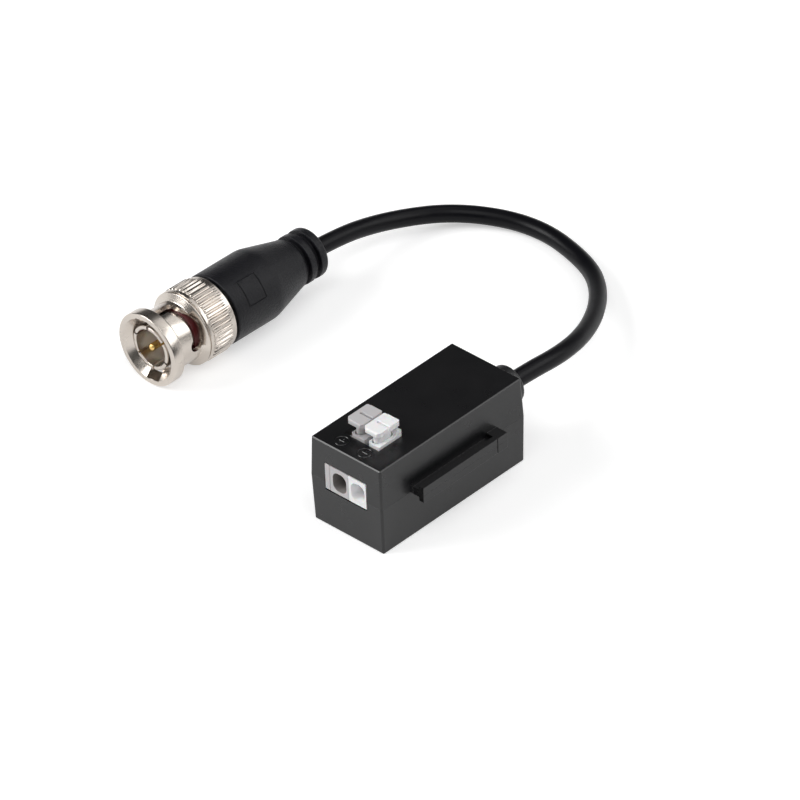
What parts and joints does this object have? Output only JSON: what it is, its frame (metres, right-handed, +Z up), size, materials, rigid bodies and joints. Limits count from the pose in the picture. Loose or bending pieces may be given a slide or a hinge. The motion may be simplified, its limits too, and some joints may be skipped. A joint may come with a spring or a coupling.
{
  "type": "passive video balun",
  "caption": "Black housing with a push terminal for a twisted pair, stepped levers, a side coupling rail and a short coax tail that ends in a bayonet plug",
  "frame": {"origin": "the centre of the housing's underside, on the surface that the housing and the plug lie on", "axes": "+Z up; +Y from the wire ports to the cable end; +X towards the coupling rail"},
  "size_m": [0.0754, 0.0884, 0.0212],
  "materials": {
    "shell": "fine matt moulded grain",
    "grey_plastic": "satin moulded",
    "white_plastic": "satin moulded",
    "spring_steel": "bright rolled strip",
    "contact_metal": "tinned",
    "board": "green solder mask",
    "ferrite": "matt sintered",
    "copper_wire": "enamelled",
    "ceramic": "glazed, with tinned ends",
    "chip": "matt, with tinned ends",
    "soft_black": "satin moulded",
    "cord_jacket": "satin jacket",
    "boot_black": "satin moulded",
    "nickel": "nickel plated, satin bright",
    "clear_insulator": "milky",
    "gilt": "gold plated",
    "red_rubber": "satin"
  },
  "bodies": {
    "housing": {"lower_shell": "shell", "upper_shell": "shell", "terminal_end_plate": "grey_plastic", "grey_module": "grey_plastic", "white_module": "white_plastic", "grey_clamp_spring": "spring_steel", "white_clamp_spring": "spring_steel", "grey_contact": "contact_metal", "white_contact": "contact_metal", "circuit_board": "board", "transformer_core": "ferrite", "transformer_winding": "copper_wire", "surge_tube": "ceramic", "chip_parts": "chip", "cable_gland": "soft_black", "coax_core_lead": "copper_wire", "coax_shield_lead": "copper_wire", "coax_cord": "cord_jacket", "plug_boot": "boot_black", "crimp_ferrule": "nickel", "plug_body": "nickel", "plug_insulator": "clear_insulator", "centre_pin": "gilt", "plug_core_stub": "clear_insulator", "plug_gasket": "red_rubber", "wave_washer": "spring_steel", "snap_ring": "spring_steel"},
    "grey_lever": {"grey_lever": "grey_plastic"},
    "white_lever": {"white_lever": "white_plastic"},
    "coupling_nut": {"coupling_nut": "nickel"}
  },
  "joints": [
    {"name": "grey_lever_press", "type": "slide", "parent": "housing", "child": "grey_lever", "axis": [0, 0, -1], "range_m": [0, 0.001], "stiffness_N_per_m": 2000, "springref_m": -0.0005, "deforming": ["grey_clamp_spring"]},
    {"name": "white_lever_press", "type": "slide", "parent": "housing", "child": "white_lever", "axis": [0, 0, -1], "range_m": [0, 0.001], "stiffness_N_per_m": 2000, "springref_m": -0.0005, "deforming": ["white_clamp_spring"]},
    {"name": "coupling_nut_turn", "type": "hinge", "parent": "housing", "child": "coupling_nut", "pos_m": [-0.05736, -0.00759, 0.00725], "axis": [0.0297, 0.9996, 0], "continuous": true}
  ]
}
